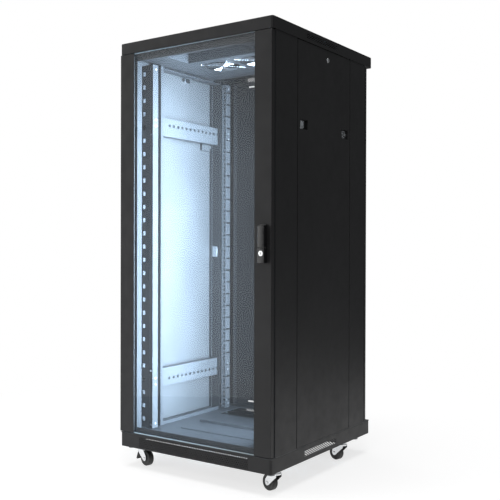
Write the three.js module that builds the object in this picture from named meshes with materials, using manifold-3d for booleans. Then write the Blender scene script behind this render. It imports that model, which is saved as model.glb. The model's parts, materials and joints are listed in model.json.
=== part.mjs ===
// Free-standing 19-inch network rack cabinet, 27 rack units high, with a glass front door,
// a rear door, lift-off side panels, roof fans, casters and levelling feet.
// Units are millimetres and +Z is up. The front faces -Y, and +X is to the right seen from the front.
// Every piece is drawn with Y = 0 on the outer face of the front door and Z = 0 on the floor.
import * as THREE from 'three';
import { mergeVertices } from 'three/addons/utils/BufferGeometryUtils.js';
import Module from 'manifold-3d';

const wasm = await Module();
wasm.setup();

// ---- driving dimensions ---------------------------------------------------------------------
const SHEET = 2; // folded sheet steel
const GAP = 0.3; // between pieces that touch

const CAP = { halfWidth: 300, depth: 638, bottom: 1356, top: 1392, corner: 8 };
const PLINTH = { halfWidth: 297, depth: 634, bottom: 67, top: 111, corner: 8 };
const FLOOR_BOTTOM = PLINTH.top + GAP;
const FLOOR_TOP = FLOOR_BOTTOM + SHEET;
const FRAME_BOTTOM = FLOOR_TOP + GAP;
const FRAME_TOP = CAP.bottom - GAP;
const BODY_HALF = 298; // outer face of the posts and of the side panels

const DOOR = { bottom: 115.3, top: 1354, left: -299.5, right: 296.5, depth: 16, sheet: 1.6 };
const STILE_WIDTH = 60;
const GLASS = { thickness: 4, front: DOOR.sheet + GAP, overlap: 24 };
const DOOR_PIN = { x: -291, y: 8, r: 3, hole: 3.4 };

const FRONT_POST = { face: 20.3, back: 139, inner: 244, windowHalf: 33 };
const REAR_POST = { front: 479, face: 586, inner: 247.4 };
const LIP = { frontTop: 12, frontLow: 40, rearTop: 22, rearLow: 40 }; // depths of the crossbeams' folds
const BEAM_LOW = 1333; // lower edge of the front and side top beams

const REAR_DOOR = { front: 589.2, back: 602.5, bottom: 115.3, top: 1351.5, pinY: 595.5 };
const PANEL = { front: 142, back: 476, bottom: 115, top: 1354, depth: 14 };

const UNIT = 44.45; // one rack unit
const UNITS = 27;
const HOLE = 9.5; // square mounting hole
const HOLES_IN_UNIT = [6.35, 22.225, 38.1];
const HOLE_X = 232.55; // half of the 465.1 mm between the hole columns
const RAIL = { inner: 225, tab: 271, tabHalf: 30, depth: 26, bottom: 118, top: 1331 };
const RAIL_PLACES = { front: { y: 75, outer: 278 }, rear: { y: 483.5, outer: 245 } };

const BRACE = { near: 262, far: 283.5, front: 101.3, back: 507.2, height: 63, sheet: 2 };
const BRACE_CENTRES = { upper: 1138.5, lower: 272.5 };
const BRACE_SLOT = { size: 9, pitch: 23, count: 14, first: 203, fromEdge: 24 };

const ROOF = { bottom: 1341, halfWidth: 243.4, front: 22.8, back: 432 };
const WELL = { halfWidth: 148, front: 34, back: 166, top: 1384 }; // walled opening in the roof panel
const FAN = { x: 70, y: 256, size: 120, depth: 25, bore: 57, rotor: 54, hub: 20, screw: 52.5 };

const CASTERS = [
  { name: 'front_left', x: -252, y: 58, trailAngle: -12 },
  { name: 'front_right', x: 274, y: 62, trailAngle: 165 },
  { name: 'rear_left', x: -252, y: 475, trailAngle: -12 },
  { name: 'rear_right', x: 274, y: 475, trailAngle: 165 },
];
const CASTER = { wheel: 25, halfWidth: 10, trail: 25, crown: 16, leg: 2 };
const FEET = {
  x: 276, ys: { front: 32, rear: 560 }, stud: 5, pad: 12, padBottom: 57.6, padTop: 62, top: 137,
};

const HANDLE = { x: 269.6, bottom: 679, top: 791, halfWidth: 12, proud: 16, split: 724, base: 5 };
const LOCK_Z = 707;
const SPINDLE_Z = 777;
const LEVER_PIVOT = { y: -10.75, z: 782 };
const KEEPER = { x0: 250, x1: 290, z0: 750, z1: 804 };
const KEY_LOCK = { r: 8, bore: 8.4, camHalf: 6, camLength: 18 };
const REAR_LOCK = { x: 270, z: 735 };
const PANEL_LOCK = { y: 325, z: 1323, behind: 20 };
const CABLE = { halfWidth: 150, front: 165, back: 295, slot: 40 };
const REAR_ENTRY = { halfWidth: 200, front: 412, back: 540 }; // the floor's open rear part
const FLOOR_FLANGE = { x: 246, front: 150, back: 468, top: 125 }; // upturned along both sides

// ---- solids ---------------------------------------------------------------------------------
function solidOf(geometry) {
  const bare = geometry.clone();
  bare.deleteAttribute('normal');
  bare.deleteAttribute('uv');
  const merged = mergeVertices(bare, 1e-4);
  const index = Array.from(merged.index.array);
  const kept = [];
  for (let i = 0; i < index.length; i += 3) {
    const [a, b, c] = index.slice(i, i + 3);
    if (a !== b && b !== c && c !== a) kept.push(a, b, c);
  }
  return new wasm.Manifold(new wasm.Mesh({
    numProp: 3,
    vertProperties: Float32Array.from(merged.attributes.position.array),
    triVerts: Uint32Array.from(kept),
  }));
}

function geometryOf(solid) {
  const mesh = solid.getMesh();
  const geometry = new THREE.BufferGeometry();
  geometry.setAttribute('position', new THREE.BufferAttribute(mesh.vertProperties, 3));
  geometry.setIndex(new THREE.BufferAttribute(mesh.triVerts, 1));
  return geometry;
}

function join(...solids) {
  return solids.reduce((whole, next) => whole.add(next));
}

function cut(solid, ...tools) {
  return tools.reduce((rest, tool) => rest.subtract(tool), solid);
}

function box(x0, x1, y0, y1, z0, z1) {
  const geometry = new THREE.BoxGeometry(x1 - x0, y1 - y0, z1 - z0);
  geometry.translate((x0 + x1) / 2, (y0 + y1) / 2, (z0 + z1) / 2);
  return solidOf(geometry);
}

// The shape's two coordinates are (x, y) for axis z, (y, z) for axis x and (z, x) for axis y.
const BASES = {
  z: [[1, 0, 0], [0, 1, 0], [0, 0, 1]],
  x: [[0, 1, 0], [0, 0, 1], [1, 0, 0]],
  y: [[0, 0, 1], [1, 0, 0], [0, 1, 0]],
};

function extrude(shape, axis, from, to, curveSegments = 6) {
  const geometry = new THREE.ExtrudeGeometry(shape, { depth: to - from, bevelEnabled: false, curveSegments });
  geometry.translate(0, 0, from);
  const [u, v, w] = BASES[axis].map((a) => new THREE.Vector3(...a));
  geometry.applyMatrix4(new THREE.Matrix4().makeBasis(u, v, w));
  return solidOf(geometry);
}

function polygon(points) {
  return new THREE.Shape(points.map(([a, b]) => new THREE.Vector2(a, b)));
}

function roundedRectangle(a0, a1, b0, b1, r) {
  const shape = new THREE.Shape();
  shape.moveTo(a0 + r, b0);
  shape.lineTo(a1 - r, b0);
  shape.absarc(a1 - r, b0 + r, r, -Math.PI / 2, 0);
  shape.lineTo(a1, b1 - r);
  shape.absarc(a1 - r, b1 - r, r, 0, Math.PI / 2);
  shape.lineTo(a0 + r, b1);
  shape.absarc(a0 + r, b1 - r, r, Math.PI / 2, Math.PI);
  shape.lineTo(a0, b0 + r);
  shape.absarc(a0 + r, b0 + r, r, Math.PI, 1.5 * Math.PI);
  return shape;
}

// A bent strip of sheet: the path is its centre line, and the corners are mitred.
function strip(path, thickness) {
  const points = path.map(([a, b]) => new THREE.Vector2(a, b));
  const side = (sign) => points.map((point, i) => {
    const before = points[Math.max(i - 1, 0)];
    const after = points[Math.min(i + 1, points.length - 1)];
    const into = (i === 0 ? after.clone().sub(point) : point.clone().sub(before)).normalize();
    const out = (i === points.length - 1 ? into : after.clone().sub(point)).clone().normalize();
    const normal = new THREE.Vector2(-into.y - out.y, into.x + out.x).normalize();
    const reach = thickness / 2 / normal.dot(new THREE.Vector2(-into.y, into.x));
    return point.clone().addScaledVector(normal, sign * reach);
  });
  return new THREE.Shape([...side(1), ...side(-1).reverse()]);
}

function rod(axis, a, b, r, from, to, sides = 20) {
  const shape = new THREE.Shape();
  shape.absarc(a, b, r, 0, 2 * Math.PI);
  return extrude(shape, axis, from, to, sides / 2); // an arc gets two sides for each curve segment
}

function turned(profile, segments = 24) {
  const points = [...profile, profile[0]].map(([r, h]) => new THREE.Vector2(r, h));
  const geometry = new THREE.LatheGeometry(points, segments);
  geometry.rotateX(Math.PI / 2); // the lathe's axis becomes Z
  const solid = solidOf(geometry);
  return solid.volume() < 0 ? solidOf(geometry.scale(1, 1, -1)) : solid;
}

function row(count, make) {
  return join(...Array.from({ length: count }, (_, i) => make(i)));
}

// ---- the scene graph ------------------------------------------------------------------------
const cabinet = new THREE.Group();
cabinet.position.y = -(CAP.depth - HANDLE.proud) / 2; // the whole object is centred on the origin

const FINISH = {
  black: { color: 0x2b2c2e, roughness: 0.55, metalness: 0.3 },
  grey: { color: 0x54585c, roughness: 0.5, metalness: 0.4 },
  zinc: { color: 0xb4b8bc, roughness: 0.35, metalness: 0.9 },
  chrome: { color: 0xdadcdf, roughness: 0.12, metalness: 1 },
  plastic: { color: 0x17181a, roughness: 0.5, metalness: 0 },
  rubber: { color: 0x1c1c1d, roughness: 0.85, metalness: 0 },
  glass: { color: 0x9fb3c2, roughness: 0.05, metalness: 0, transparent: true, opacity: 0.35 },
};

function add(name, solid, finish, parent = cabinet) {
  const mesh = new THREE.Mesh(geometryOf(solid), new THREE.MeshStandardMaterial(FINISH[finish]));
  mesh.name = name;
  parent.add(mesh);
  return mesh;
}

function place(x, y, z, turnDegrees = 0) {
  const group = new THREE.Group();
  group.position.set(x, y, z);
  group.rotation.z = THREE.MathUtils.degToRad(turnDegrees);
  cabinet.add(group);
  return group;
}

// ---- roof cap and plinth --------------------------------------------------------------------
const VENT = { front: 190, back: 389, pitch: 12.7, width: 6.5, height: 17.5, lean: 30 };
const REAR_VENT = { near: 36, far: 235 }; // from the middle of the rear wall

// Slanted slots from a to b along a wall, centred on height z, with their upper ends lean further on.
// They are cut through the wall along the axis, x or y, from w0 to w1.
function slantedSlots(axis, [a, b], z, lean, [w0, w1]) {
  const { pitch, width, height } = VENT;
  const [low, high] = [z - height / 2, z + height / 2];
  const corner = (along, level) => (axis === 'x' ? [along, level] : [level, along]);
  const slot = (s) => polygon([corner(s, low), corner(s + width, low), corner(s + width + lean, high),
    corner(s + lean, high)]);
  const first = a - Math.max(lean, 0);
  const count = Math.ceil((b - a + Math.abs(lean)) / pitch);
  const slots = row(count, (i) => extrude(slot(first + i * pitch), axis, w0, w1));
  const window = axis === 'x' ? box(w0, w1, a, b, low, high) : box(a, b, w0, w1, low, high);
  return slots.intersect(window);
}

// Vents in both side walls and on both sides of the rear wall.
function wallVents({ halfWidth, depth, bottom, top }, lean) {
  const z = (bottom + top) / 2;
  const { near, far } = REAR_VENT;
  const rear = [depth - 10, depth + 5];
  return join(
    slantedSlots('x', [VENT.front, VENT.back], z, lean, [-halfWidth - 5, halfWidth + 5]),
    slantedSlots('y', [near, far], z, lean, rear),
    slantedSlots('y', [-far, -near], z, lean, rear),
  );
}

function tray(outer, wall) {
  const { halfWidth, depth, bottom, top, corner } = outer;
  const body = extrude(roundedRectangle(-halfWidth, halfWidth, 0, depth, corner), 'z', bottom, top);
  const inner = roundedRectangle(wall - halfWidth, halfWidth - wall, wall, depth - wall, corner - wall);
  return { body, inner };
}

function addTopCap() {
  const { body, inner } = tray(CAP, SHEET);
  const hem = 18;
  const mouthX = CAP.halfWidth - hem;
  const mouth = box(-mouthX, mouthX, hem, CAP.depth - hem, CAP.bottom - 1, CAP.bottom + 5);
  const hollow = extrude(inner, 'z', CAP.bottom + SHEET, CAP.top - SHEET);
  const pinHole = rod('z', DOOR_PIN.x, DOOR_PIN.y, DOOR_PIN.hole, CAP.bottom - 5, CAP.bottom + 5);
  add('top_cap', cut(body, hollow, mouth, pinHole, wallVents(CAP, VENT.lean)), 'black');
}

function addPlinth() {
  const { body, inner } = tray(PLINTH, SHEET);
  const hollow = extrude(inner, 'z', PLINTH.bottom + SHEET, PLINTH.top + 1);
  const openX = PLINTH.halfWidth - 12;
  const floorOpening = box(-openX, openX, 100, 440, PLINTH.bottom - 5, PLINTH.bottom + 5);
  const nutTop = PLINTH.bottom + SHEET + 10;
  const nuts = feetPlaces().map(({ x, y }) => rod('z', x, y, 9, PLINTH.bottom + 1, nutTop, 6));
  const threadR = FEET.stud + GAP;
  const threads = feetPlaces().map(({ x, y }) => rod('z', x, y, threadR, PLINTH.bottom - 5, nutTop + 5));
  const shell = cut(body, hollow, floorOpening, wallVents(PLINTH, -VENT.lean));
  add('base_plinth', cut(join(shell, ...nuts), ...threads), 'black');
}

function feetPlaces() {
  return Object.entries(FEET.ys).flatMap(([end, y]) => [
    { name: `${end}_left`, x: -FEET.x, y },
    { name: `${end}_right`, x: FEET.x, y },
  ]);
}

function addFloor() {
  const half = PLINTH.halfWidth - 0.5;
  const plate = box(-half, half, 0.5, PLINTH.depth - 0.5, FLOOR_BOTTOM, FLOOR_TOP);
  const through = [FLOOR_BOTTOM - 5, FLOOR_TOP + 5];
  const pins = [DOOR_PIN.y, REAR_DOOR.pinY].map((y) => rod('z', DOOR_PIN.x, y, DOOR_PIN.hole, ...through));
  const studs = feetPlaces().map(({ x, y }) => rod('z', x, y, FEET.stud + 1.5, ...through));
  const entry = box(-CABLE.halfWidth, CABLE.halfWidth, CABLE.front, CABLE.back, ...through);
  const rearX = REAR_ENTRY.halfWidth;
  const rearEntry = box(-rearX, rearX, REAR_ENTRY.front, REAR_ENTRY.back, ...through);
  const { x: flangeX, front, back, top } = FLOOR_FLANGE;
  const flanges = [-flangeX - SHEET, flangeX].map((x0) => box(x0, x0 + SHEET, front, back, FLOOR_BOTTOM, top));
  add('floor_plate', cut(join(plate, ...flanges), entry, rearEntry, ...pins, ...studs), 'grey');

  const coverBottom = FLOOR_TOP + GAP;
  const overlap = 15;
  const [coverFront, coverBack] = [CABLE.front - overlap, CABLE.back - CABLE.slot];
  const x = CABLE.halfWidth + overlap;
  const cover = box(-x, x, coverFront, coverBack, coverBottom, coverBottom + SHEET);
  const grip = box(-x, x, coverBack - SHEET, coverBack, coverBottom, coverBottom + 12);
  add('cable_cover', join(cover, grip), 'grey');
}

// ---- frame ----------------------------------------------------------------------------------
function mirrored(path, side) {
  return path.map(([x, y]) => [side * x, y]);
}

function postPair(path) {
  return [-1, 1].map((side) => extrude(strip(mirrored(path, side), SHEET), 'z', FRAME_BOTTOM, FRAME_TOP));
}

// A folded sheet crossbeam between the posts.
function crossbeam(path, innerX) {
  return extrude(strip(path, SHEET), 'x', -innerX, innerX);
}

function addFrontFrame() {
  const { face, back, inner, windowHalf } = FRONT_POST;
  const [outerX, innerX] = [BODY_HALF - SHEET / 2, inner + SHEET / 2];
  const [faceY, backY] = [face + SHEET / 2, back - SHEET / 2];
  const path = [[innerX, face + 22], [innerX, faceY], [outerX, faceY], [outerX, backY], [innerX, backY],
    [innerX, back + 11]];
  const posts = postPair(path);
  const topZ = BEAM_LOW + SHEET / 2;
  const top = crossbeam([[faceY, FRAME_TOP], [faceY, topZ], [face + LIP.frontTop, topZ]], innerX);
  const lowZ = FRAME_BOTTOM + SHEET / 2;
  const low = crossbeam([[faceY, lowZ + 16], [faceY, lowZ], [face + LIP.frontLow, lowZ]], innerX);
  const windows = Object.values(BRACE_CENTRES).map((z) => braceWindows(back - 10, back + 10, z, windowHalf));
  const keeper = box(KEEPER.x0, KEEPER.x1, face - 5, face + 5, KEEPER.z0, KEEPER.z1);
  add('front_frame', cut(join(...posts, top, low), ...windows, keeper), 'black');
}

function braceWindows(y0, y1, z, half) {
  const clear = 1;
  const [near, far] = [BRACE.near - clear, BRACE.far + clear];
  return join(box(-far, -near, y0, y1, z - half, z + half), box(near, far, y0, y1, z - half, z + half));
}

function addRearFrame() {
  const { front, face, inner } = REAR_POST;
  const [outerX, innerX] = [BODY_HALF - SHEET / 2, inner + SHEET / 2];
  const [frontY, faceY] = [front + SHEET / 2, face - SHEET / 2];
  const path = [[innerX, frontY], [outerX, frontY], [outerX, faceY], [innerX, faceY], [innerX, face - 22]];
  const posts = postPair(path);
  const topZ = FRAME_TOP - 6;
  const top = crossbeam([[faceY, FRAME_TOP], [faceY, topZ], [face - LIP.rearTop, topZ]], innerX);
  const lowZ = FRAME_BOTTOM + SHEET / 2;
  const low = crossbeam([[faceY, lowZ + 6], [faceY, lowZ], [face - LIP.rearLow, lowZ]], innerX);
  const windows = Object.values(BRACE_CENTRES).map((z) => braceWindows(front - 5, front + 5, z, 33));
  const lug = box(-BODY_HALF, -282, face - 1, 603, FRAME_TOP - SHEET, FRAME_TOP);
  const pinHole = rod('z', DOOR_PIN.x, REAR_DOOR.pinY, DOOR_PIN.hole, FRAME_TOP - 10, FRAME_TOP + 5);
  const { x: lockX, z: lockZ } = REAR_LOCK;
  const keeper = box(lockX - 8, lockX + 8, face - 5, face + 5, lockZ - 22, lockZ + 10);
  add('rear_frame', cut(join(...posts, top, low, lug), ...windows, pinHole, keeper), 'black');
}

function addSideBeams() {
  const [y0, y1] = [FRONT_POST.back + GAP, REAR_POST.front - GAP];
  const [innerX, outerX] = [247.5, 281];
  const z = BEAM_LOW + SHEET / 2;
  for (const [name, side] of [['left_top_beam', -1], ['right_top_beam', 1]]) {
    const path = [[FRAME_TOP, side * outerX], [z, side * outerX], [z, side * innerX]];
    const notchX = [side * (outerX - 12), side * (outerX - SHEET / 2)].sort((a, b) => a - b);
    const camWay = box(...notchX, PANEL_LOCK.y - 24, PANEL_LOCK.y + 24, z - 5, z + 5);
    add(name, cut(extrude(strip(path, SHEET), 'y', y0, y1), camWay), 'black');
  }
}

// Slotted depth brace: a channel whose web faces the middle of the cabinet.
function addBraces() {
  const { near, far, front, back, height, sheet } = BRACE;
  for (const [level, centre] of Object.entries(BRACE_CENTRES)) {
    const [z0, z1] = [centre - (height - sheet) / 2, centre + (height - sheet) / 2];
    const outwards = level === 'upper' ? 1 : -1;
    const slotZ = centre + outwards * (height / 2 - BRACE_SLOT.fromEdge);
    for (const [hand, side] of [['left', -1], ['right', 1]]) {
      const web = near + sheet / 2;
      const path = [[z0, side * far], [z0, side * web], [z1, side * web], [z1, side * far]];
      const channel = extrude(strip(path, sheet), 'y', front, back);
      const half = BRACE_SLOT.size / 2;
      const slots = row(BRACE_SLOT.count, (i) => {
        const y = BRACE_SLOT.first + i * BRACE_SLOT.pitch;
        const [x0, x1] = [side * web - 4, side * web + 4];
        return box(x0, x1, y - half, y + half, slotZ - half, slotZ + half);
      });
      add(`${hand}_${level}_brace`, cut(channel, slots), 'black');
    }
  }
}

// ---- 19-inch rails --------------------------------------------------------------------------
const FIRST_UNIT = (RAIL.bottom + RAIL.top - UNITS * UNIT) / 2;

// Each rail is an angle: its face carries the holes, and tabs on its side leg meet the braces.
function addRails() {
  const holes = (x) => row(UNITS * HOLES_IN_UNIT.length, (i) => {
    const unit = Math.floor(i / HOLES_IN_UNIT.length);
    const z = FIRST_UNIT + unit * UNIT + HOLES_IN_UNIT[i % HOLES_IN_UNIT.length];
    return box(x - HOLE / 2, x + HOLE / 2, -5, 5, z - HOLE / 2, z + HOLE / 2);
  });
  for (const [end, { y, outer }] of Object.entries(RAIL_PLACES)) {
    for (const [hand, side] of [['left', -1], ['right', 1]]) {
      const inner = RAIL.inner + SHEET / 2;
      const path = [[outer, SHEET / 2], [inner, SHEET / 2], [inner, RAIL.depth]];
      const angle = extrude(strip(mirrored(path, side), SHEET), 'z', RAIL.bottom, RAIL.top);
      const tabX = [side * RAIL.inner, side * RAIL.tab].sort((a, b) => a - b);
      const tabs = Object.values(BRACE_CENTRES).map((z) => (
        box(...tabX, RAIL.depth - SHEET, RAIL.depth, z - RAIL.tabHalf, z + RAIL.tabHalf)));
      add(`${end}_${hand}_rail`, cut(join(angle, ...tabs), holes(side * HOLE_X)), 'black', place(0, y, 0));
    }
  }
}

// ---- roof panel and fans --------------------------------------------------------------------
function addRoof() {
  const { bottom, halfWidth, front, back } = ROOF;
  const plate = box(-halfWidth, halfWidth, front, back, bottom, bottom + SHEET);
  const skirt = box(-halfWidth, halfWidth, front, front + SHEET, BEAM_LOW + SHEET + GAP, bottom + 1);
  const bores = [-1, 1].map((side) => rod('z', side * FAN.x, FAN.y, FAN.bore, bottom - 5, bottom + 5, 28));
  const wellX = WELL.halfWidth;
  const walls = box(-wellX - SHEET, wellX + SHEET, WELL.front - SHEET, WELL.back + SHEET, bottom, WELL.top);
  const well = box(-wellX, wellX, WELL.front, WELL.back, bottom - 5, WELL.top + 5);
  add('roof_panel', cut(join(plate, skirt, walls), well, ...bores), 'grey');
}

function addFans() {
  for (const [hand, side] of [['left', -1], ['right', 1]]) {
    const fan = place(side * FAN.x, FAN.y, ROOF.bottom + SHEET + GAP);
    add(`${hand}_fan_housing`, fanHousing(), 'plastic', fan);
    add(`${hand}_fan_rotor`, fanRotor(), 'plastic', fan);
    add(`${hand}_fan_guard`, fanGuard(), 'chrome', place(side * FAN.x, FAN.y, ROOF.bottom - GAP));
  }
}

const STRUT_HEIGHT = 4; // the motor's spider, at the top of the housing

function fanHousing() {
  const half = FAN.size / 2;
  const shell = extrude(roundedRectangle(-half, half, -half, half, 5), 'z', 0, FAN.depth, 2);
  const bore = rod('z', 0, 0, FAN.bore, -5, FAN.depth + 5, 32);
  const [low, high] = [FAN.depth - STRUT_HEIGHT, FAN.depth];
  const arms = [box(-half + 1, half - 1, -3, 3, low, high), box(-3, 3, -half + 1, half - 1, low, high)];
  const motor = rod('z', 0, 0, FAN.hub, low, high);
  return join(cut(shell, bore), motor, ...arms);
}

function fanRotor() {
  const top = FAN.depth - STRUT_HEIGHT - 1;
  const hub = rod('z', 0, 0, FAN.hub, 2, top);
  const blades = Array.from({ length: 7 }, (_, i) => {
    const blade = new THREE.BoxGeometry(FAN.rotor - FAN.hub + 4, 30, 2);
    blade.rotateX(THREE.MathUtils.degToRad(25));
    blade.translate((FAN.rotor + FAN.hub - 4) / 2, 0, (top + 2) / 2);
    blade.rotateZ((i * 2 * Math.PI) / 7);
    return solidOf(blade);
  });
  const sweep = rod('z', 0, 0, FAN.rotor, 2, top, 28);
  return join(hub, ...blades).intersect(sweep);
}

// Concentric wires on a cross, with four screw eyes, hanging under the roof panel.
function fanGuard() {
  const wire = 1.1;
  const depth = 5;
  const rings = [18, 36, 54].map((r) => turned([[r - wire, -depth], [r + wire, -depth],
    [r + wire, wire * 2 - depth], [r - wire, wire * 2 - depth]], 20));
  const reach = FAN.screw;
  const arms = [45, 135].map((degrees) => {
    const arm = new THREE.BoxGeometry(2 * Math.SQRT2 * reach, 2 * wire, 2 * wire);
    arm.translate(0, 0, 3 * wire - depth);
    arm.rotateZ(THREE.MathUtils.degToRad(degrees));
    return solidOf(arm);
  });
  const corners = [[reach, reach], [reach, -reach], [-reach, reach], [-reach, -reach]];
  const eyes = corners.map(([x, y]) => rod('z', x, y, 4, -depth, 0, 8));
  return join(...rings, ...arms, ...eyes);
}

// ---- front door -----------------------------------------------------------------------------
function addFrontDoor() {
  const { left, right, depth, sheet, bottom, top } = DOOR;
  for (const [name, outer, side] of [['door_left_stile', left, 1], ['door_right_stile', right, -1]]) {
    const x = (distance) => outer + side * distance;
    const half = sheet / 2;
    const hemX = x(STILE_WIDTH - 12);
    const backY = depth - half;
    const path = [[x(STILE_WIDTH), half], [x(half), half], [x(half), backY], [hemX, backY], [hemX, 8.5]];
    const stile = extrude(strip(path, sheet), 'z', bottom, top);
    const spindleHole = rod('y', SPINDLE_Z, HANDLE.x, 7, -5, depth + 5);
    add(name, name === 'door_right_stile' ? cut(stile, spindleHole) : stile, 'black');
  }
  const { front, thickness, overlap } = GLASS;
  const [x0, x1] = [left + STILE_WIDTH - overlap, right - STILE_WIDTH + overlap];
  add('door_glass', box(x0, x1, front, front + thickness, bottom, top), 'glass');
  addDoorPin('door_pin_top', top - 20, top - 0.5, CAP.bottom + 4);
  addDoorPin('door_pin_bottom', bottom + 0.5, bottom + 20, FLOOR_BOTTOM - 4);
}

// A block in the end of the stile with the pin that stands out of it.
function addDoorPin(name, z0, z1, tip) {
  const { x, y, r } = DOOR_PIN;
  const half = 6;
  const [low, high] = [Math.min(tip, z0), Math.max(tip, z1)];
  add(name, join(box(x - half, x + half, y - half, y + half, z0, z1), rod('z', x, y, r, low, high)), 'zinc');
}

function addHandle() {
  const { x, bottom, top, halfWidth, proud, split, base } = HANDLE;
  const plate = box(x - halfWidth, x + halfWidth, -base, -GAP, bottom, top);
  const boss = box(x - halfWidth, x + halfWidth, -proud, -base + 1, bottom, split - 2);
  const spindleBore = rod('y', SPINDLE_Z, x, 5, -proud - 5, 5);
  const lockBore = rod('y', LOCK_Z, x, 8 + GAP, -proud - 5, 5);
  add('handle_base', cut(join(plate, boss), spindleBore, lockBore), 'plastic');

  const leverBack = -base - 0.5;
  const lever = box(x - halfWidth, x + halfWidth, -proud, leverBack, split, LEVER_PIVOT.z + 6);
  const cheek = 5;
  const forkX = cheek + 0.5;
  const fork = box(x - forkX, x + forkX, -proud + 3, leverBack + 1, SPINDLE_Z - 9, LEVER_PIVOT.z + 5);
  // Relieved behind the pivot, so that the lever can tip out without its top end touching the base.
  const relief = box(x - halfWidth - 1, x + halfWidth + 1, LEVER_PIVOT.y + 1.2, 0, LEVER_PIVOT.z - 3, top);
  add('handle_lever', cut(lever, fork, relief), 'plastic');

  const barrel = rod('y', LOCK_Z, x, 8, -proud, -GAP);
  const keyway = box(x - 1, x + 1, -proud - 1, -proud + 4, LOCK_Z - 4, LOCK_Z + 4);
  add('lock_cylinder', cut(barrel, keyway), 'chrome');

  const head = box(x - cheek, x + cheek, -proud + 3.5, -base, SPINDLE_Z - 6, SPINDLE_Z + 5);
  const shaft = rod('y', SPINDLE_Z, x, 4.5, -base - 1, DOOR.depth + 9);
  const cam = box(x - 16, x + 6, DOOR.depth + 6.5, DOOR.depth + 9, SPINDLE_Z - 6, SPINDLE_Z + 6);
  add('latch_cam', join(head, shaft, cam), 'zinc');
}

// ---- rear door ------------------------------------------------------------------------------
function addRearDoor() {
  const { front, back, bottom, top, pinY } = REAR_DOOR;
  const half = 297.5;
  const skin = box(-half, half, front, back, bottom, top);
  const hollow = box(-half + SHEET, half - SHEET, front - 1, back - SHEET, bottom + SHEET, top - SHEET);
  const slot = (z) => (i) => box(-203 + i * 39, -177 + i * 39, back - 10, back + 5, z - 3, z + 3);
  const vents = join(row(11, slot(top - 12)), row(11, slot(bottom + 12)));
  const { r } = DOOR_PIN;
  const blocks = [[bottom, bottom + 18], [top - 18, top]].map(([z0, z1]) => (
    box(DOOR_PIN.x - 6, DOOR_PIN.x + 6, front + 1, back - 1, z0, z1)));
  const pins = [[FLOOR_BOTTOM - 4, bottom + 5], [top - 5, FRAME_TOP - GAP]].map(([z0, z1]) => (
    rod('z', DOOR_PIN.x, pinY, r, z0, z1)));
  const lockHole = rod('y', REAR_LOCK.z, REAR_LOCK.x, KEY_LOCK.bore, back - 10, back + 5);
  add('rear_door', join(cut(skin, hollow, vents, lockHole), ...blocks, ...pins), 'black');
  const lock = place(REAR_LOCK.x, back, REAR_LOCK.z);
  lock.rotation.x = -Math.PI / 2; // the lock's axis points out of the back of the cabinet
  add('rear_lock', keyLock(22, [0, 1]), 'chrome', lock); // the cam hangs down, clear of the frame
}

// A round lock along z with its face just proud of z = 0. The cam at its inner end points along
// +x or +y, or the other way with a negative entry in pointing.
function keyLock(behind, pointing) {
  const proud = 1;
  const barrel = rod('z', 0, 0, KEY_LOCK.r, -behind, proud);
  const keyway = box(-1, 1, -4, 4, proud - 3, proud + 1);
  const { camHalf, camLength } = KEY_LOCK;
  const span = (way) => [Math.min(-camHalf, way * camLength), Math.max(camHalf, way * camLength)];
  const cam = box(...span(pointing[0]), ...span(pointing[1]), -behind - SHEET, -behind + 0.5);
  return join(cut(barrel, keyway), cam);
}

// ---- side panels ----------------------------------------------------------------------------
const LATCH = { width: 44, height: 30, inset: 14, z: 1100, pocket: 10 };

function addSidePanels() {
  for (const [hand, side] of [['left', -1], ['right', 1]]) {
    add(`${hand}_side_panel`, sidePanel(side), 'black');
    const lock = place(side * BODY_HALF, PANEL_LOCK.y, PANEL_LOCK.z);
    lock.rotation.y = (side * Math.PI) / 2; // the lock's axis points outwards
    add(`${hand}_panel_lock`, keyLock(PANEL_LOCK.behind, [0, side]), 'chrome', lock);
    for (const [end, direction] of [['front', 1], ['rear', -1]]) {
      add(`${hand}_${end}_latch`, springLatch(side, latchCentre(direction), direction), 'zinc');
    }
  }
}

function latchCentre(direction) {
  const edge = direction > 0 ? PANEL.front : PANEL.back;
  return edge + direction * (LATCH.inset + LATCH.width / 2);
}

// Order two X distances measured inwards from the panel's outer face.
function inward(side, from, to) {
  return [side * (BODY_HALF - from), side * (BODY_HALF - to)].sort((a, b) => a - b);
}

function sidePanel(side) {
  const { front, back, bottom, top, depth } = PANEL;
  const pan = box(...inward(side, 0, depth), front, back, bottom, top);
  const within = [front + SHEET, back - SHEET, bottom + SHEET, top - SHEET];
  const hollow = box(...inward(side, SHEET, depth + 5), ...within);
  const lockHole = rod('x', PANEL_LOCK.y, PANEL_LOCK.z, KEY_LOCK.bore, ...inward(side, -5, 6));
  let panel = cut(pan, hollow, lockHole);
  for (const direction of [1, -1]) {
    const y = latchCentre(direction);
    const [w, h] = [LATCH.width / 2, LATCH.height / 2];
    const [z0, z1] = [LATCH.z - h, LATCH.z + h];
    const pocket = box(...inward(side, 0, LATCH.pocket + 1.5), y - w - 1.5, y + w + 1.5, z0 - 1.5, z1 + 1.5);
    const recess = box(...inward(side, -5, LATCH.pocket), y - w, y + w, z0, z1);
    const boltWay = [y - direction * (w - 3), y - direction * (w + LATCH.inset + 5)].sort((a, b) => a - b);
    const boltHole = box(...inward(side, 4.7, 9.3), ...boltWay, LATCH.z - 4.3, LATCH.z + 4.3);
    panel = cut(join(panel, pocket), recess, boltHole);
  }
  return panel;
}

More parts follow.
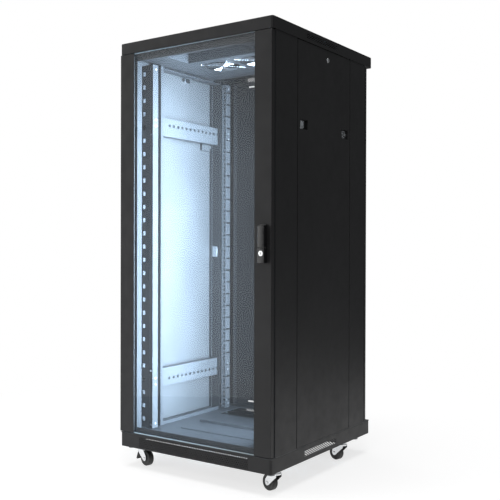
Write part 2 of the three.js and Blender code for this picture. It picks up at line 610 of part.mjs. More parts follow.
// A finger slide in its pocket. The bolt passes through the pocket and the panel's folded edge.
function springLatch(side, y, direction) {
  const w = LATCH.width / 2;
  const outerEnd = y - direction * (w - 1);
  const span = (a, b) => [outerEnd + direction * a, outerEnd + direction * b].sort((p, q) => p - q);
  const plate = box(...inward(side, 7.5, 9.5), ...span(0, 26), LATCH.z - 13, LATCH.z + 13);
  const tab = box(...inward(side, 2, 8), ...span(20, 23), LATCH.z - 11, LATCH.z + 11);
  const bolt = box(...inward(side, 5, 9), ...span(-LATCH.inset - 0.5, 10), LATCH.z - 4, LATCH.z + 4);
  return join(plate, tab, bolt);
}

// ---- casters and feet -----------------------------------------------------------------------
function casterPlate() {
  const plate = box(-16, 16, -22, 22, PLINTH.bottom - GAP - 2, PLINTH.bottom - GAP);
  const raceway = rod('z', 0, 0, 13, 57.3, PLINTH.bottom - GAP - 1);
  const kingpin = rod('z', 0, 0, 4, 51, 58, 12);
  const head = rod('z', 0, 0, 7, 50.5, 52.5, 12);
  return join(plate, raceway, kingpin, head);
}

// Crown and two legs. The wheel trails along +X of the caster's own frame.
function casterFork() {
  const { crown, halfWidth, leg, trail, wheel } = CASTER;
  const [crownLow, crownTop] = [53, 57];
  const outline = polygon([[crownTop, -13], [crownTop, 15], [34, trail + 8], [wheel, trail + 9],
    [18, trail + 6], [16, trail], [19, trail - 7], [crownLow - 6, -13]]);
  const inner = halfWidth + 1;
  const legs = [-1, 1].map((side) => {
    const [y0, y1] = [side * inner, side * (inner + leg)].sort((a, b) => a - b);
    // The outline is drawn in (z, x), the order that extrusion along y expects.
    return extrude(outline, 'y', y0, y1);
  });
  const disc = cut(rod('z', 0, 0, crown, crownLow, crownTop, 24), rod('z', 0, 0, 4.4, 40, 70, 12));
  const axle = rod('y', wheel, trail, 3.2, -inner - leg - 1.5, inner + leg + 1.5, 16);
  return join(disc, ...legs, axle);
}

function casterWheel() {
  const { wheel, halfWidth } = CASTER;
  const bore = 3.5;
  return turned([[bore, -halfWidth], [wheel - 3, -halfWidth], [wheel, 3 - halfWidth], [wheel, halfWidth - 3],
    [wheel - 3, halfWidth], [bore, halfWidth]], 24);
}

// Toe pedal on the far side of the swivel from the wheel.
const PEDAL = { pivot: -12, pivotZ: 44 };

function brakePedal() {
  const pivot = rod('y', PEDAL.pivotZ, PEDAL.pivot, 3, -10.5, 10.5, 12);
  const outline = polygon([[46, -14], [46, -10], [24, -14], [14, -20], [14, -26], [22, -24]]);
  const arm = extrude(outline, 'y', -8, 8);
  return join(pivot, arm);
}

function addCasters() {
  for (const { name, x, y, trailAngle } of CASTERS) {
    add(`${name}_caster_plate`, casterPlate(), 'zinc', place(x, y, 0));
    const swivel = place(x, y, 0, trailAngle);
    add(`${name}_caster_fork`, casterFork(), 'chrome', swivel);
    const wheel = add(`${name}_wheel`, casterWheel(), 'rubber', swivel);
    wheel.position.set(CASTER.trail, 0, CASTER.wheel);
    wheel.rotation.x = Math.PI / 2; // the wheel's axis lies along Y of the fork
    if (name === 'front_left') add('brake_pedal', brakePedal(), 'plastic', swivel);
  }
}

function addFeet() {
  for (const { name, x, y } of feetPlaces()) {
    const pad = rod('z', 0, 0, FEET.pad, FEET.padBottom, FEET.padTop, 20);
    const nut = rod('z', 0, 0, 8, FEET.padTop - 1, FEET.padTop + 4, 6); // jam nut, just under the plinth
    const stud = rod('z', 0, 0, FEET.stud, FEET.padTop, FEET.top, 16);
    add(`${name}_foot`, join(pad, nut, stud), 'rubber', place(x, y, 0));
  }
}

addTopCap();
addPlinth();
addFloor();
addFrontFrame();
addRearFrame();
addSideBeams();
addBraces();
addRails();
addRoof();
addFans();
addFrontDoor();
addHandle();
addRearDoor();
addSidePanels();
addCasters();
addFeet();

export default cabinet;
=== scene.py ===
"""A free-standing 19-inch network rack cabinet: its looks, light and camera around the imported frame.

Lengths are metres in the part's own frame: +Z up, the glass door faces -Y.
"""

import json
import math

import bmesh
import bpy
from mathutils import Matrix, Vector


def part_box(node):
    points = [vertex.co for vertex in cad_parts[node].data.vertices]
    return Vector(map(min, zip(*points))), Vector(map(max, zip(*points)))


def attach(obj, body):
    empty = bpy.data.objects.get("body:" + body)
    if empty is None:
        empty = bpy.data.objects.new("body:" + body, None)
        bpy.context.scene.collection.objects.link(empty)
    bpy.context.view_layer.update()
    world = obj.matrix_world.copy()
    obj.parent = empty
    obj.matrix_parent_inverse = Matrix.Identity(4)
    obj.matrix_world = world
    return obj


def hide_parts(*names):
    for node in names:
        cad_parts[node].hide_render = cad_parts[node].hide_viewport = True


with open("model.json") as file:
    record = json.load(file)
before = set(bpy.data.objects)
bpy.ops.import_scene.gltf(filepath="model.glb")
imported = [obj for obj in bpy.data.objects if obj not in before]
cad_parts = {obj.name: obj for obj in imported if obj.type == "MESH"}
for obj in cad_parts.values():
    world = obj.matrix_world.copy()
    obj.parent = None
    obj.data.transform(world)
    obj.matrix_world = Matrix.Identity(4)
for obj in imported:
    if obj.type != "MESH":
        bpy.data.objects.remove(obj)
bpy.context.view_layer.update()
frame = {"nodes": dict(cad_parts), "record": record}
RECORD = frame["record"]
BODY_OF = {node: body for body, nodes in RECORD["behaviour"]["bodies"].items() for node in nodes}
SLOT_OF = {part["node"]: part["material_slot"] for part in RECORD["subparts"]}
JOINT = {joint["name"]: joint for joint in RECORD["behaviour"]["joints"]}
HANDS = {"left": -1, "right": 1}
CORNERS = ("front_left", "front_right", "rear_left", "rear_right")

MM = 0.001
SHEET = 2 * MM
UNIT = 44.45 * MM
UNITS = 27
SHARP = math.radians(50)


# ---- materials ------------------------------------------------------------------------------
class Material:
    """A material's node tree, with one short method for each kind of node."""

    def __init__(self, name):
        self.data = bpy.data.materials.new(name)
        self.data.use_nodes = True
        self.tree = self.data.node_tree
        self.shader = self.tree.nodes["Principled BSDF"]
        self.place = self.node("ShaderNodeTexCoord").outputs["Object"]

    def node(self, kind, **settings):
        made = self.tree.nodes.new(kind)
        for key, value in settings.items():
            setattr(made, key, value)
        return made

    def link(self, output, socket):
        self.tree.links.new(output, socket)

    def feed(self, made, **inputs):
        for key, value in inputs.items():
            socket = made.inputs[key.replace("_", " ")]
            if isinstance(value, bpy.types.NodeSocket):
                self.link(value, socket)
            else:
                socket.default_value = value
        return made

    def stretched(self, scale):
        return self.feed(self.node("ShaderNodeMapping"), Vector=self.place, Scale=scale).outputs[0]

    def noise(self, scale, detail=3.0, place=None):
        made = self.node("ShaderNodeTexNoise")
        return self.feed(made, Vector=place or self.place, Scale=scale, Detail=detail).outputs["Fac"]

    def cells(self, scale):
        made = self.node("ShaderNodeTexVoronoi")
        return self.feed(made, Vector=self.place, Scale=scale).outputs["Color"]

    def between(self, factor, low, high, low_at=0.3, high_at=0.7):
        """A number that goes from low to high as factor goes from low_at to high_at."""
        made = self.node("ShaderNodeMapRange")
        settings = {"Value": factor, "From Min": low_at, "From Max": high_at, "To Min": low, "To Max": high}
        return self.feed(made, **settings).outputs["Result"]

    def colours(self, factor, low, high):
        made = self.node("ShaderNodeMix", data_type="RGBA")
        self.link(factor, made.inputs["Factor"])
        made.inputs[6].default_value = (*low, 1)
        made.inputs[7].default_value = (*high, 1)
        return made.outputs[2]

    def over(self, factor, under, top):
        """The colour top painted over the colour under, by factor."""
        made = self.node("ShaderNodeMix", data_type="RGBA")
        self.link(factor, made.inputs["Factor"])
        self.link(under, made.inputs[6])
        made.inputs[7].default_value = (*top, 1)
        return made.outputs[2]

    def times(self, a, b):
        made = self.node("ShaderNodeMath", operation="MULTIPLY")
        for socket, value in zip(made.inputs, (a, b)):
            if isinstance(value, bpy.types.NodeSocket):
                self.link(value, socket)
            else:
                socket.default_value = value
        return made.outputs[0]

    def worn_and_highlit_edges(self, radius):
        """1 along sharp edges, broken up by noise, and 0 on flats: the mask for paler edges, partly rubbed
        wear and partly a painted edge highlight.
        """
        rounded = self.feed(self.node("ShaderNodeBevel", samples=4), Radius=radius).outputs[0]
        flat = self.node("ShaderNodeNewGeometry").outputs["Normal"]
        dot = self.node("ShaderNodeVectorMath", operation="DOT_PRODUCT")
        self.link(rounded, dot.inputs[0])
        self.link(flat, dot.inputs[1])
        edge = self.between(dot.outputs["Value"], 1.0, 0.0, 0.80, 0.97)
        return self.times(edge, self.between(self.noise(140), 0.0, 1.0, 0.35, 0.65))

    def bump(self, height, strength, distance):
        made = self.node("ShaderNodeBump")
        self.feed(made, Height=height, Strength=strength, Distance=distance)
        self.link(made.outputs["Normal"], self.shader.inputs["Normal"])

    def set(self, **inputs):
        self.feed(self.shader, **inputs)
        return self


def powder_coat(name, dark, light, edge_wear_and_highlight, roughness=(0.42, 0.52)):
    """Baked powder paint: a fine orange-peel skin, faint clouding, and paler paint along the edges, partly
    rubbed wear and partly a painted edge highlight.
    """
    m = Material(name)
    clouds = m.colours(m.between(m.noise(5), 0, 1), dark, light)
    m.set(Base_Color=m.over(m.worn_and_highlit_edges(0.8 * MM), clouds, edge_wear_and_highlight))
    m.set(Roughness=m.between(m.noise(28), *roughness))
    m.set(Specular_IOR_Level=0.3)
    m.bump(m.noise(900, 2.0), 0.008, 0.03 * MM)
    return m.data


def plated(name, dark, light, roughness, spangle):
    """Bright plate with drawn-on streaks and a faint crystal spangle."""
    m = Material(name)
    m.set(Metallic=1.0, Base_Color=m.colours(m.between(m.cells(spangle), 0, 1, 0, 1), dark, light))
    streaks = m.noise(60, 2.0, m.stretched((1, 1, 14)))
    m.set(Roughness=m.between(streaks, *roughness))
    m.bump(m.noise(500, 2.0), 0.02, 0.05 * MM)
    return m.data


def plastic(name, dark, light, roughness, grain):
    """Moulded plastic with a spark-eroded grain and paler edges, partly slightly rubbed and partly a painted
    edge highlight.
    """
    m = Material(name)
    clouds = m.colours(m.between(m.noise(30), 0, 1), dark, light)
    m.set(Base_Color=m.over(m.worn_and_highlit_edges(0.6 * MM), clouds, tuple(4 * c for c in light)))
    m.set(Roughness=m.between(m.noise(120), *roughness))
    m.bump(m.noise(1500, 2.0), grain, 0.15 * MM)
    return m.data


def rubber(name):
    """Hard rubber tread, dusty where it runs on the floor."""
    m = Material(name)
    dust = m.between(m.noise(90, 4.0), 0, 0.5, 0.45, 0.75)
    tread = m.colours(m.between(m.noise(25), 0, 1), (0.012, 0.012, 0.012), (0.02, 0.02, 0.02))
    m.set(Base_Color=m.over(dust, tread, (0.07, 0.066, 0.06)), Roughness=m.between(m.noise(60), 0.45, 0.65))
    m.bump(m.noise(700, 3.0), 0.2, 0.2 * MM)
    return m.data


def glass(name):
    """Toughened glass, seen as a thin blue-grey veil with a clean gloss and a little dust on it."""
    m = Material(name)
    smears = m.noise(3.5, 5.0)
    m.set(Base_Color=m.colours(m.between(smears, 0, 1), (0.10, 0.125, 0.15), (0.12, 0.145, 0.17)))
    m.set(Roughness=m.between(m.noise(9, 4.0), 0.02, 0.06), Alpha=m.between(smears, 0.17, 0.20))
    return m.data


def edge_glass(name):
    """The ground edge of the pane, where the glass shows its green-blue body."""
    m = Material(name)
    m.set(Base_Color=m.colours(m.noise(40), (0.42, 0.52, 0.56), (0.55, 0.64, 0.68)))
    m.set(Roughness=m.between(m.noise(200), 0.2, 0.4))
    return m.data


PAINT = powder_coat("black_powder_coat", (0.017, 0.017, 0.018), (0.022, 0.022, 0.023), (0.07, 0.07, 0.072))
# A lighter copy of the black coat for the parts inside: painted light from the interior lamp, as these parts
# carry the same black paint.
INTERIOR_PAINTED_LIT = powder_coat("inner_coat_painted_lit", (0.04, 0.042, 0.046), (0.05, 0.053, 0.058),
                          (0.12, 0.125, 0.13), (0.34, 0.42))
# The side panels' inner faces: a lighter copy of the black coat, as painted light.
PANEL_PAINTED_LIT = powder_coat("panel_inside_painted_lit", (0.054, 0.056, 0.059), (0.066, 0.068, 0.071),
                           (0.15, 0.155, 0.16), (0.4, 0.5))
# Rails and braces: a still lighter copy of the black coat, painted light where the interior lamp falls on
# them.
RAIL_PAINTED_LIT = powder_coat("rail_coat_painted_lit", (0.055, 0.058, 0.062), (0.07, 0.073, 0.078),
                         (0.2, 0.21, 0.22), (0.3, 0.38))
CHROME = plated("chrome_plate", (0.72, 0.73, 0.75), (0.86, 0.87, 0.88), (0.08, 0.2), 300)
ZINC = plated("zinc_plate", (0.5, 0.52, 0.54), (0.66, 0.68, 0.7), (0.28, 0.42), 160)
DARK_ZINC = plated("dark_zinc", (0.16, 0.165, 0.17), (0.24, 0.245, 0.25), (0.35, 0.5), 200)
GLOSS = plastic("gloss_black_plastic", (0.008, 0.008, 0.009), (0.012, 0.012, 0.013), (0.12, 0.2), 0.02)
MATTE = plastic("matte_black_plastic", (0.012, 0.012, 0.013), (0.018, 0.018, 0.019), (0.45, 0.6), 0.1)
RUBBER = rubber("black_tread")
GLASS = glass("door_glass")
GROUND_GLASS = edge_glass("ground_glass_edge")

FINISH = {
    "powder_coat": PAINT, "gloss_black": GLOSS, "black_plastic": MATTE,
    "chrome": CHROME, "zinc_plate": ZINC, "foot_zinc": DARK_ZINC,
}
# Braces shown in the lighter rail paint, as painted light.
BRACES_PAINTED_LIT = {"left_upper_brace", "right_upper_brace", "left_lower_brace", "right_lower_brace"}
# Inside parts that take the lighter copy of the paint, as painted light.
INNER_NODES = {"floor_plate", "cable_cover", "roof_panel", "left_top_beam", "right_top_beam"}


# ---- mesh helpers ---------------------------------------------------------------------------
def cad_mesh(node):
    """The CAD node's solid as clean flat faces."""
    bm = bmesh.new()
    bm.from_mesh(frame["nodes"][node].data)
    bmesh.ops.remove_doubles(bm, verts=bm.verts, dist=1e-5)
    bmesh.ops.dissolve_limit(bm, angle_limit=math.radians(0.5), verts=bm.verts, edges=bm.edges)
    return bm


def soften(bm, width, segments=2, wanted=lambda edge: True):
    """Rounds the sharp edges, as folded sheet and moulded parts have them."""
    sharp = [e for e in bm.edges if len(e.link_faces) == 2 and e.calc_face_angle(0) > math.radians(32)]
    chosen = [e for e in sharp if wanted(e)]
    bmesh.ops.bevel(bm, geom=chosen, offset=width, segments=segments, profile=0.5, affect="EDGES",
                    clamp_overlap=True)
    return bm


def make(name, bm, material):
    for edge in bm.edges:
        edge.smooth = len(edge.link_faces) == 2 and edge.calc_face_angle(0) < SHARP
    for face in bm.faces:
        face.smooth = True
    mesh = bpy.data.meshes.new(name)
    bm.to_mesh(mesh)
    bm.free()
    mesh.materials.append(material)
    piece = bpy.data.objects.new(name, mesh)
    bpy.context.scene.collection.objects.link(piece)
    weighted = piece.modifiers.new("flat faces stay flat", "WEIGHTED_NORMAL")
    weighted.keep_sharp = True
    return piece


def stand_for(piece, *nodes):
    """The piece rides on the nodes' body and is shown in their place."""
    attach(piece, BODY_OF[nodes[0]])
    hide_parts(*nodes)
    return piece


def detail(piece, node):
    """A small piece that the CAD leaves out, on the body of a CAD node."""
    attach(piece, BODY_OF[node])
    return piece


def carve(piece, cutters):
    """Cuts the solids in the bmesh cutters out of the piece's mesh."""
    mesh = bpy.data.meshes.new("cutters")
    cutters.to_mesh(mesh)
    cutters.free()
    tool = bpy.data.objects.new("cutters", mesh)
    bpy.context.scene.collection.objects.link(tool)
    cut = piece.modifiers.new("cut", "BOOLEAN")
    cut.operation = "DIFFERENCE"
    cut.solver = "EXACT"
    cut.object = tool
    while piece.modifiers[0] != cut:
        piece.modifiers.move(piece.modifiers.find(cut.name), 0)
    others = [m for m in piece.modifiers if m != cut]
    for m in others:
        m.show_viewport = False
    evaluated = piece.evaluated_get(bpy.context.evaluated_depsgraph_get())
    carved = bpy.data.meshes.new_from_object(evaluated)
    piece.modifiers.remove(cut)
    for m in others:
        m.show_viewport = True
    old = piece.data
    piece.data = carved
    bpy.data.meshes.remove(old)
    bpy.data.objects.remove(tool)
    return piece


def add_prism(bm, centre, axis, radius, depth, sides):
    """A prism around centre along the unit vector axis."""
    turn = Vector((0, 0, 1)).rotation_difference(Vector(axis)).to_matrix().to_4x4()
    bmesh.ops.create_cone(bm, cap_ends=True, segments=sides, radius1=radius, radius2=radius, depth=depth,
                          matrix=Matrix.Translation(centre) @ turn)


def add_box(bm, low, high):
    low, high = Vector(low), Vector(high)
    size = Matrix.Diagonal((*(high - low), 1))
    bmesh.ops.create_cube(bm, size=1, matrix=Matrix.Translation((low + high) / 2) @ size)


def add_block(bm, centre, size):
    half = Vector(size) / 2
    add_box(bm, Vector(centre) - half, Vector(centre) + half)


def add_turned(bm, centre, axis, profile, steps=48):
    """A closed profile of (radius, height) points turned around the axis through centre."""
    turn = Vector((0, 0, 1)).rotation_difference(Vector(axis)).to_matrix()
    rings = []
    for step in range(steps):
        angle = 2 * math.pi * step / steps
        out = Vector((math.cos(angle), math.sin(angle), 0))
        points = [out * r + Vector((0, 0, h)) for r, h in profile]
        rings.append([bm.verts.new(Vector(centre) + turn @ point) for point in points])
    for here, there in zip(rings, rings[1:] + rings[:1]):
        for i in range(len(profile)):
            j = (i + 1) % len(profile)
            bm.faces.new((here[i], there[i], there[j], here[j]))


def add_ring(bm, centre, axis, radius, wire):
    """A ring of round wire."""
    around = [2 * math.pi * i / 8 for i in range(8)]
    profile = [(radius + wire * math.cos(a), wire * math.sin(a)) for a in around]
    add_turned(bm, centre, axis, profile)


def add_rod(bm, start, end, radius):
    add_prism(bm, (start + end) / 2, (end - start).normalized(), radius, (end - start).length, 10)


def in_mm(profile):
    return [(radius * MM, height * MM) for radius, height in profile]


# ---- pieces that keep the CAD shape, with rounded edges -------------------------------------
OUTER_WALL = 0.2968  # beyond this distance from the middle, a post's sheet is its outer skin
EDGE_WIDTH = {"handle_base": 1.6, "handle_lever": 1.6, "door_left_stile": 0.7, "door_right_stile": 0.7}
WHEELS = {corner + "_wheel" for corner in CORNERS}
RAILS = {corner + "_rail" for corner in CORNERS}
GUARDS = {hand + "_fan_guard" for hand in HANDS}
PANELS = {hand + "_side_panel" for hand in HANDS}
OWN_PIECES = {"door_glass", "top_cap", "base_plinth", "front_frame"} | WHEELS | RAILS | GUARDS | PANELS


def shell_material(node):
    # Inside parts and braces get lighter copies of the black coat: painted light from the interior lamp.
    if node in INNER_NODES:
        return INTERIOR_PAINTED_LIT
    if node in BRACES_PAINTED_LIT:
        return RAIL_PAINTED_LIT
    return FINISH[SLOT_OF[node]]


def add_softened_nodes():
    for node in sorted(frame["nodes"]):
        if node in OWN_PIECES:
            continue
        bm = soften(cad_mesh(node), EDGE_WIDTH.get(node, 0.5) * MM)
        stand_for(make(node + "_shell", bm, shell_material(node)), node)


def add_with_painted_light(node, lit_paint, gets_painted_light):
    """The softened CAD shape in outer paint, with a lighter copy of the paint on the faces that the given
    test picks: painted light from the interior lamp.
    """
    bm = soften(cad_mesh(node), 0.5 * MM)
    painted_lit_faces = [face.index for face in bm.faces if gets_painted_light(face)]
    piece = make(node + "_shell", bm, PAINT)
    piece.data.materials.append(lit_paint)
    for index in painted_lit_faces:
        piece.data.polygons[index].material_index = 1
    stand_for(piece, node)


def outward_tilt(face):
    """1 on a face that looks away from the cabinet's middle along X, and -1 on one that looks towards it."""
    return math.copysign(1, face.calc_center_median().x) * face.normal.x


def looks_inwards(face):
    return outward_tilt(face) < -0.5


def is_inside_post(face):
    on_outer_wall = abs(face.calc_center_median().x) > OUTER_WALL
    return not (on_outer_wall and outward_tilt(face) > 0.3)


def add_panels_and_posts():
    # Inward panel faces and the posts' inner sheet get the lighter paints, painted light from the interior
    # lamp.
    for panel in sorted(PANELS):
        add_with_painted_light(panel, PANEL_PAINTED_LIT, looks_inwards)
    add_with_painted_light("front_frame", INTERIOR_PAINTED_LIT, is_inside_post)


# ---- roof cap and plinth --------------------------------------------------------------------
def on_top_rim(height):
    """Picks the edges that lie at this height."""
    return lambda edge: all(abs(v.co.z - height) < 0.1 * MM for v in edge.verts)


def add_top_cap():
    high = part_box("top_cap")[1]
    bm = soften(cad_mesh("top_cap"), 1.6 * MM, 3, on_top_rim(high.z))
    stand_for(make("top_cap_shell", bm, PAINT), "top_cap")


PERFORATION = {"half": 219 * MM, "hole": 2.1 * MM, "pitch": 6.6 * MM, "margin": 4.5 * MM}


def add_plinth():
    low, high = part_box("base_plinth")
    bm = soften(cad_mesh("base_plinth"), 0.8 * MM)
    piece = make("base_plinth_shell", bm, PAINT)
    holes = bmesh.new()
    rise = PERFORATION["pitch"] * math.sqrt(3) / 2
    rows = int((high.z - low.z - 2 * PERFORATION["margin"]) / rise)
    first = (low.z + high.z - (rows - 1) * rise) / 2
    for row in range(rows):
        columns = int(2 * PERFORATION["half"] / PERFORATION["pitch"]) - row % 2
        left = -(columns - 1) * PERFORATION["pitch"] / 2
        for column in range(columns):
            centre = (left + column * PERFORATION["pitch"], low.y + SHEET / 2, first + row * rise)
            add_prism(holes, centre, (0, 1, 0), PERFORATION["hole"], 3 * SHEET, 8)
    stand_for(carve(piece, holes), "base_plinth")


# ---- rails ----------------------------------------------------------------------------------
UNIT_MARK = {"length": 22 * MM, "height": 6 * MM}
WIDE_HOLE = {"from_leg": 39 * MM, "width": 12 * MM, "height": 14 * MM}


def unit_centres(low, high):
    """Heights of the middle hole of each rack unit."""
    first = (low.z + high.z - UNITS * UNIT) / 2 + UNIT / 2
    return [first + i * UNIT for i in range(UNITS)]


def add_rail(node):
    """The rail with a hole at each rack unit: slots in a rear rail's side leg, wide ones in a front face."""
    low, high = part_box(node)
    side = -1 if low.x < 0 else 1
    leg = side * min(abs(low.x), abs(high.x))
    middle = low.y + 0.55 * (high.y - low.y)
    # The rail's paint is a lighter copy of the black coat, painted light.
    piece = make(node + "_shell", soften(cad_mesh(node), 0.3 * MM), RAIL_PAINTED_LIT)
    cutters = bmesh.new()
    for z in unit_centres(low, high):
        if "rear" in node:
            add_block(cutters, (leg, middle, z), (6 * SHEET, UNIT_MARK["length"], UNIT_MARK["height"]))
        else:
            x = leg + side * WIDE_HOLE["from_leg"]
            add_block(cutters, (x, low.y, z), (WIDE_HOLE["width"], 4 * SHEET, WIDE_HOLE["height"]))
    stand_for(carve(piece, cutters), node)


SCREW_HEIGHTS = [0.132, 0.262, 0.283, 1.128, 1.149, 1.317]
SCREW_HEAD = in_mm([(0.2, 0), (3.6, 0), (3.2, 0.9), (0.2, 1.5)])


def add_rail_screws(node):
    """Domed screw heads on the side leg, at its ends and at the braces."""
    low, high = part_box(node)
    side = -1 if low.x < 0 else 1
    leg = side * min(abs(low.x), abs(high.x))
    y = low.y + 0.6 * (high.y - low.y)
    bm = bmesh.new()
    for z in SCREW_HEIGHTS:
        add_turned(bm, (leg, y, z), (-side, 0, 0), SCREW_HEAD, 20)
    detail(make(node + "_screws", bm, ZINC), node)


# ---- small fittings on the posts ------------------------------------------------------------
CLIP = {"x": 0.296, "y": -0.2165, "depth": 17 * MM, "height": 30 * MM, "heights": (0.26, 1.151)}
BRACKET = {"near": 0.262, "far": 0.283, "back": 0.168, "bottom": 0.686, "top": 0.725}


def add_post_clips():
    """A channel-shaped clip inside each front post's outer wall, level with each brace."""
    bm = bmesh.new()
    x, y, depth, height = CLIP["x"], CLIP["y"], CLIP["depth"], CLIP["height"]
    for side in HANDS.values():
        for z in CLIP["heights"]:
            add_block(bm, (side * (x - 0.5 * MM), y, z), (1 * MM, depth, height))
            for end in (-1, 1):
                centre = (side * (x - 2 * MM), y, z + end * (height / 2 - 1 * MM))
                add_block(bm, centre, (4 * MM, depth, 2 * MM))
    detail(make("front_post_clips", bm, ZINC), "front_frame")


def add_post_brackets():
    """A small plate on the front wall of each rear post, halfway up."""
    bm = bmesh.new()
    for side in HANDS.values():
        x0, x1 = sorted((side * BRACKET["near"], side * BRACKET["far"]))
        add_box(bm, (x0, BRACKET["back"] - 2 * MM, BRACKET["bottom"]), (x1, BRACKET["back"], BRACKET["top"]))
    detail(make("rear_post_brackets", soften(bm, 0.4 * MM), ZINC), "rear_frame")


# ---- fan guards -----------------------------------------------------------------------------
GUARD = {"rings": 6, "outer": 54 * MM, "step": 8.4 * MM, "wire": 1.2 * MM, "eye": 4 * MM}
GUARD_SCREW = in_mm([(0.3, -1), (3, -0.4), (3.9, 2), (0.3, 2)])


def add_fan_guard(node):
    """Rings of round wire on a cross, with an eye and a screw at each corner."""
    low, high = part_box(node)
    centre = (low + high) / 2
    wire = GUARD["wire"]
    reach = (high.x - low.x) / 2 - GUARD["eye"]
    bm = bmesh.new()
    for i in range(GUARD["rings"]):
        radius = GUARD["outer"] - i * GUARD["step"]
        add_ring(bm, (centre.x, centre.y, low.z + wire), (0, 0, 1), radius, wire)
    for a, b in ((1, 1), (1, -1)):
        corner = Vector((a * reach, b * reach, 0))
        level = Vector((centre.x, centre.y, low.z + 3 * wire))
        add_rod(bm, level - corner, level + corner, wire)
    for a in (-1, 1):
        for b in (-1, 1):
            eye = (centre.x + a * reach, centre.y + b * reach, low.z + 2 * wire)
            add_turned(bm, eye, (0, 0, 1), GUARD_SCREW, 20)
    stand_for(make(node + "_shell", bm, CHROME), node)


# ---- caster wheels --------------------------------------------------------------------------
TYRE = {"half": 10 * MM, "radius": 25 * MM, "shoulder": 3.5 * MM}
HUB = in_mm([(18, 10), (16.5, 8.5), (9, 8.5), (8, 10), (3.6, 10)])
AXLE_HEAD = in_mm([(0.2, 0), (4.6, 0), (4.4, 0.9), (2.8, 1.3), (0.2, 1.4)])


def add_wheel(corner):
    """A tyre with rounded shoulders on a recessed hub."""
    node = corner + "_wheel"
    roll = JOINT[corner + "_wheel_roll"]
    shoulder = TYRE["shoulder"]
    inner, flank = TYRE["radius"] - shoulder, TYRE["half"] - shoulder
    curve = [i * math.pi / 10 for i in range(6)]
    corners = [(inner + shoulder * math.cos(a), flank + shoulder * math.sin(a)) for a in curve]
    one_side = corners + HUB
    profile = one_side + [(r, -h) for r, h in reversed(one_side)]
    bm = bmesh.new()
    add_turned(bm, roll["pos_m"], roll["axis"], profile)
    stand_for(make(node + "_tyre", bm, RUBBER), node)


def add_axle_bolt(corner):
    """The axle's domed head and nut, outside the fork's legs."""
    roll = JOINT[corner + "_wheel_roll"]
    centre, axis = Vector(roll["pos_m"]), Vector(roll["axis"])
    bm = bmesh.new()
    for side in (-1, 1):
        add_turned(bm, centre + side * axis * 13.1 * MM, side * axis, AXLE_HEAD, 24)
    detail(make(corner + "_axle_heads", bm, CHROME), corner + "_caster_fork")


# ---- front door -----------------------------------------------------------------------------
GROUND_BOTTOM = 2 * MM
GROUND_TOP = 0.6 * MM


def add_door_glass():
    low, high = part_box("door_glass")
    pane = bmesh.new()
    add_box(pane, (low.x, low.y, low.z + GROUND_BOTTOM), (high.x, high.y, high.z - GROUND_TOP))
    stand_for(make("door_pane", pane, GLASS), "door_glass")
    edges = bmesh.new()
    for z0, z1 in ((low.z, low.z + GROUND_BOTTOM), (high.z - GROUND_TOP, high.z)):
        add_box(edges, (low.x, low.y, z0), (high.x, high.y, z1))
    detail(make("door_pane_ground_edges", soften(edges, 0.2 * MM), GROUND_GLASS), "door_glass")


# ---- camera, light and floor ----------------------------------------------------------------
VIEW_TURN = math.radians(34.8)
VIEW_TILT = math.radians(-0.41)
VIEW_ROLL = math.radians(-0.15)


def add_camera():
    data = bpy.data.cameras.new("camera")
    data.lens = 56.5
    data.sensor_width = 36
    camera = bpy.data.objects.new("camera", data)
    camera.location = (1.5329, -2.1976, 0.733)
    camera.rotation_euler = (math.pi / 2 + VIEW_TILT, VIEW_ROLL, VIEW_TURN)
    bpy.context.scene.collection.objects.link(camera)
    bpy.context.scene.camera = camera


def add_area_light(name, place, target, size, power, colour=(1, 1, 1)):
    """A soft rectangle of light, size wide and high as seen from its target."""
    data = bpy.data.lights.new(name, "AREA")
    data.shape = "RECTANGLE"
    data.size, data.size_y = size
    data.energy = power
    data.color = colour
    light = bpy.data.objects.new(name, data)
    light.location = place
    light.rotation_euler = (Vector(target) - Vector(place)).to_track_quat("-Z", "Y").to_euler()
    bpy.context.scene.collection.objects.link(light)
    return light


def add_lights():
    add_area_light("front_softbox", (-2.6, -3.2, 1.2), (0, 0, 0.9), (1.6, 4.2), 56)
    add_area_light("top_softbox", (0, -0.4, 4.2), (0, 0, 0), (3.0, 3.0), 110)
    add_area_light("camera_softbox", (2.3, -3.4, 2.9), (0.3, -0.3, 1.1), (0.7, 1.6), 15)
    glow = add_area_light("interior_glow", (0.212, -0.12, 0.72), (-0.3, -0.12, 0.72), (0.3, 1.15), 57,
                          (0.60, 0.80, 1.0))
    glow.data.spread = math.radians(100)
    glow.visible_camera = False
    cap_strip = add_area_light("cap_strip", (0.286, -0.0215, 1.374), (0.4, -0.0215, 1.374), (0.22, 0.024),
                               0.03, (0.9, 0.95, 1.0))
    cap_strip.visible_glossy = False


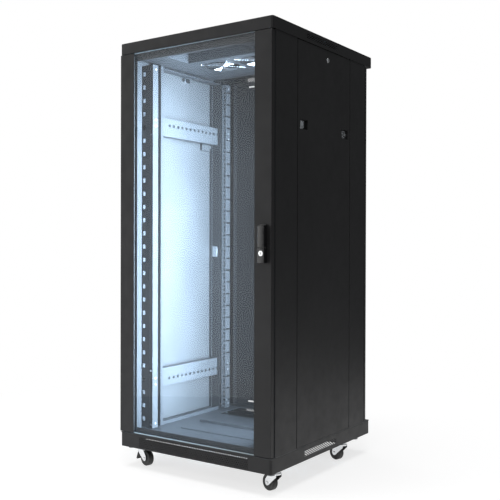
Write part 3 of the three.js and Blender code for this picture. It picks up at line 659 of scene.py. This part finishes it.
def add_world():
    world = bpy.data.worlds.new("studio")
    world.use_nodes = True
    tree = world.node_tree
    soft = tree.nodes["Background"]
    soft.inputs["Color"].default_value = (0.96, 0.98, 1.0, 1)
    soft.inputs["Strength"].default_value = 0.14
    white = tree.nodes.new("ShaderNodeBackground")
    white.inputs["Color"].default_value = (1, 1, 1, 1)
    white.inputs["Strength"].default_value = 1.0
    seen = tree.nodes.new("ShaderNodeLightPath")
    mix = tree.nodes.new("ShaderNodeMixShader")
    tree.links.new(seen.outputs["Is Camera Ray"], mix.inputs["Fac"])
    tree.links.new(soft.outputs[0], mix.inputs[1])
    tree.links.new(white.outputs[0], mix.inputs[2])
    tree.links.new(mix.outputs[0], tree.nodes["World Output"].inputs["Surface"])
    bpy.context.scene.world = world
    bpy.context.scene.view_settings.view_transform = "Standard"


FLOOR = {"radius": 1.6, "fade_from": 0.3, "glow_near": 0.72}


def add_floor():
    """A pale floor that turns into the white surroundings away from the cabinet."""
    fade = (FLOOR["fade_from"], FLOOR["radius"])
    bm = bmesh.new()
    bmesh.ops.create_circle(bm, cap_ends=True, segments=64, radius=FLOOR["radius"])
    m = Material("pale_floor")
    distance = m.node("ShaderNodeVectorMath", operation="LENGTH")
    m.link(m.place, distance.inputs[0])
    away = m.between(distance.outputs["Value"], 0.0, 1.0, *fade)
    glow = m.between(distance.outputs["Value"], FLOOR["glow_near"], 1.0, *fade)
    m.set(Base_Color=m.colours(away, (0.5, 0.5, 0.5), (0.0, 0.0, 0.0)), Roughness=0.8, Specular_IOR_Level=0.0)
    m.set(Emission_Color=(1, 1, 1, 1), Emission_Strength=glow)
    floor = make("floor", bm, m.data)
    floor.modifiers.clear()
    floor.location.z = -0.5 * MM


add_softened_nodes()
add_top_cap()
add_plinth()
for rail in sorted(RAILS):
    add_rail(rail)
    add_rail_screws(rail)
add_panels_and_posts()
add_post_clips()
add_post_brackets()
for guard in sorted(GUARDS):
    add_fan_guard(guard)
for caster in CORNERS:
    add_wheel(caster)
    add_axle_bolt(caster)
add_door_glass()
add_floor()
add_lights()
add_world()
add_camera()
